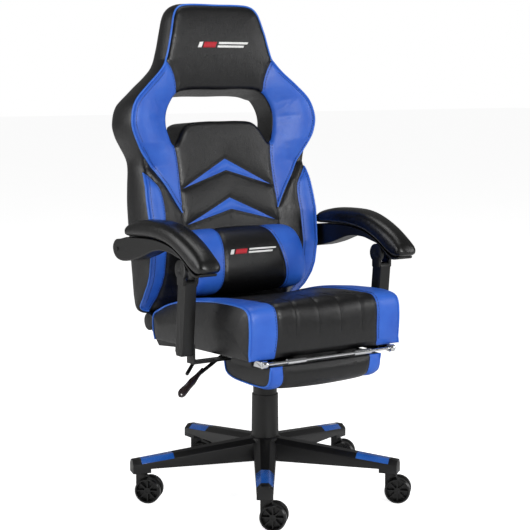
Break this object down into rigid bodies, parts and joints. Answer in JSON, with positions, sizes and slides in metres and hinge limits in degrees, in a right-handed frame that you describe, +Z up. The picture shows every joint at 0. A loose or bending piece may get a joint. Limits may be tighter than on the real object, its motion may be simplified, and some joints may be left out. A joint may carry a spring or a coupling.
{
  "type": "reclining gaming chair",
  "caption": "High-backed reclining swivel chair with winged back, padded linked armrests, gas lift, caster base, lumbar cushion and slide-out footrest.",
  "frame": {"origin": "on the floor, on the gas lift's axis", "axes": "+Z up, the sitter faces -Y, the sitter's right hand is on the -X side"},
  "size_m": [0.6777, 0.6483, 1.1943],
  "materials": {
    "black_nylon": "satin",
    "blue_plastic": "gloss",
    "black_plastic": "satin",
    "caster_plastic": "satin",
    "lever_plastic": "gloss",
    "black_steel": "satin",
    "bright_steel": "satin",
    "chrome": "polished",
    "black_leather": "satin",
    "plywood": "matte"
  },
  "bodies": {
    "base": {"star_base": "black_nylon", "base_inlays": "blue_plastic", "gas_cylinder": "black_steel", "cover_lower": "black_plastic"},
    "lift_rod": {"piston_rod": "bright_steel"},
    "cover": {"cover_middle": "black_plastic"},
    "seat": {"pressure_tube": "black_steel", "cover_upper": "black_plastic", "tilt_pan": "black_steel", "pan_bolts": "bright_steel", "seat_board": "plywood", "seat_cushion": "black_leather", "hinge_plate_right": "black_steel", "hinge_plate_left": "black_steel", "hinge_pins": "bright_steel", "hinge_covers": "black_plastic", "rail_sleeves": "black_plastic", "arm_bracket_right": "black_steel", "arm_bracket_left": "black_steel", "arm_foot_pins": "bright_steel", "lever_pins": "bright_steel"},
    "lift_handle": {"lift_lever": "black_steel", "lift_grip": "lever_plastic"},
    "recline_handle": {"recline_lever": "black_steel"},
    "back": {"back_frame": "black_steel", "back_plate_right": "black_steel", "back_plate_left": "black_steel", "back_cushion": "black_leather", "lumbar_cushion": "black_leather", "arm_studs": "bright_steel"},
    "arm_right": {"arm_pad_right": "black_leather", "arm_shell_right": "black_plastic"},
    "arm_left": {"arm_pad_left": "black_leather", "arm_shell_left": "black_plastic"},
    "post_right": {"arm_post_right": "black_plastic", "knuckle_pin_right": "bright_steel"},
    "post_left": {"arm_post_left": "black_plastic", "knuckle_pin_left": "bright_steel"},
    "footrest_slide": {"footrest_rail_right": "chrome", "footrest_rail_left": "chrome", "rail_corners": "chrome", "footrest_bar": "chrome"},
    "footrest": {"footrest_board": "plywood", "footrest_pad": "black_leather"},
    "caster_1": {"caster_body_1": "caster_plastic", "caster_pins_1": "bright_steel"},
    "wheels_1": {"caster_wheels_1": "caster_plastic"},
    "caster_2": {"caster_body_2": "caster_plastic", "caster_pins_2": "bright_steel"},
    "wheels_2": {"caster_wheels_2": "caster_plastic"},
    "caster_3": {"caster_body_3": "caster_plastic", "caster_pins_3": "bright_steel"},
    "wheels_3": {"caster_wheels_3": "caster_plastic"},
    "caster_4": {"caster_body_4": "caster_plastic", "caster_pins_4": "bright_steel"},
    "wheels_4": {"caster_wheels_4": "caster_plastic"},
    "caster_5": {"caster_body_5": "caster_plastic", "caster_pins_5": "bright_steel"},
    "wheels_5": {"caster_wheels_5": "caster_plastic"}
  },
  "joints": [
    {"name": "caster_swivel_1", "type": "hinge", "parent": "base", "child": "caster_1", "pos_m": [-0.17887, -0.25929, 0.08], "axis": [0, 0, 1], "continuous": true},
    {"name": "caster_roll_1", "type": "hinge", "parent": "caster_1", "child": "wheels_1", "pos_m": [-0.16379, -0.2739, 0.031], "axis": [0.6959, 0.7181, 0], "continuous": true},
    {"name": "caster_swivel_2", "type": "hinge", "parent": "base", "child": "caster_2", "pos_m": [0.19132, -0.25024, 0.08], "axis": [0, 0, 1], "continuous": true},
    {"name": "caster_roll_2", "type": "hinge", "parent": "caster_2", "child": "wheels_2", "pos_m": [0.2064, -0.26486, 0.031], "axis": [0.6959, 0.7181, 0], "continuous": true},
    {"name": "caster_swivel_3", "type": "hinge", "parent": "base", "child": "caster_3", "pos_m": [0.29712, 0.10463, 0.08], "axis": [0, 0, 1], "continuous": true},
    {"name": "caster_roll_3", "type": "hinge", "parent": "caster_3", "child": "wheels_3", "pos_m": [0.3122, 0.09002, 0.031], "axis": [0.6959, 0.7181, 0], "continuous": true},
    {"name": "caster_swivel_4", "type": "hinge", "parent": "base", "child": "caster_4", "pos_m": [-0.0077, 0.31491, 0.08], "axis": [0, 0, 1], "continuous": true},
    {"name": "caster_roll_4", "type": "hinge", "parent": "caster_4", "child": "wheels_4", "pos_m": [0.00739, 0.30029, 0.031], "axis": [0.6959, 0.7181, 0], "continuous": true},
    {"name": "caster_swivel_5", "type": "hinge", "parent": "base", "child": "caster_5", "pos_m": [-0.30187, 0.08999, 0.08], "axis": [0, 0, 1], "continuous": true},
    {"name": "caster_roll_5", "type": "hinge", "parent": "caster_5", "child": "wheels_5", "pos_m": [-0.28679, 0.07538, 0.031], "axis": [0.6959, 0.7181, 0], "continuous": true},
    {"name": "seat_swivel", "type": "hinge", "parent": "base", "child": "lift_rod", "pos_m": [0, 0, 0.2], "axis": [0, 0, 1], "continuous": true},
    {"name": "seat_lift", "type": "slide", "parent": "lift_rod", "child": "seat", "axis": [0, 0, 1], "range_m": [0, 0.09]},
    {"name": "cover_lift", "type": "slide", "parent": "base", "child": "cover", "axis": [0, 0, 1], "range_m": [0, 0.045]},
    {"name": "recline", "type": "hinge", "parent": "seat", "child": "back", "pos_m": [0, 0.2, 0.415], "axis": [-1, 0, 0], "range_deg": [0, 50]},
    {"name": "post_right_tilt", "type": "hinge", "parent": "seat", "child": "post_right", "pos_m": [0, -0.085, 0.394], "axis": [-1, 0, 0], "range_deg": [0, 50]},
    {"name": "arm_right_level", "type": "hinge", "parent": "back", "child": "arm_right", "pos_m": [0, 0.185, 0.604], "axis": [1, 0, 0], "range_deg": [0, 50]},
    {"name": "post_left_tilt", "type": "hinge", "parent": "seat", "child": "post_left", "pos_m": [0, -0.085, 0.394], "axis": [-1, 0, 0], "range_deg": [0, 50]},
    {"name": "arm_left_level", "type": "hinge", "parent": "back", "child": "arm_left", "pos_m": [0, 0.185, 0.604], "axis": [1, 0, 0], "range_deg": [0, 50]},
    {"name": "footrest_pull", "type": "slide", "parent": "seat", "child": "footrest_slide", "axis": [0, -1, 0], "range_m": [0, 0.195]},
    {"name": "footrest_fold", "type": "hinge", "parent": "footrest_slide", "child": "footrest", "pos_m": [0, -0.262, 0.378], "axis": [-1, 0, 0], "range_deg": [0, 178]},
    {"name": "lift_pull", "type": "hinge", "parent": "seat", "child": "lift_handle", "pos_m": [-0.063, 0.02, 0.354], "axis": [0, 1, 0], "range_deg": [0, 4], "stiffness_Nm_per_rad": 4, "springref_deg": -2.86},
    {"name": "recline_pull", "type": "hinge", "parent": "seat", "child": "recline_handle", "pos_m": [-0.166, 0.165, 0.366], "axis": [-1, 0, 0], "range_deg": [0, 10], "stiffness_Nm_per_rad": 6, "springref_deg": -2.86}
  ],
  "couplings": [
    {"joint": "cover_lift", "follows": "seat_lift", "ratio": 0.5},
    {"joint": "post_right_tilt", "follows": "recline", "ratio": 1},
    {"joint": "arm_right_level", "follows": "recline", "ratio": 1},
    {"joint": "post_left_tilt", "follows": "recline", "ratio": 1},
    {"joint": "arm_left_level", "follows": "recline", "ratio": 1}
  ]
}
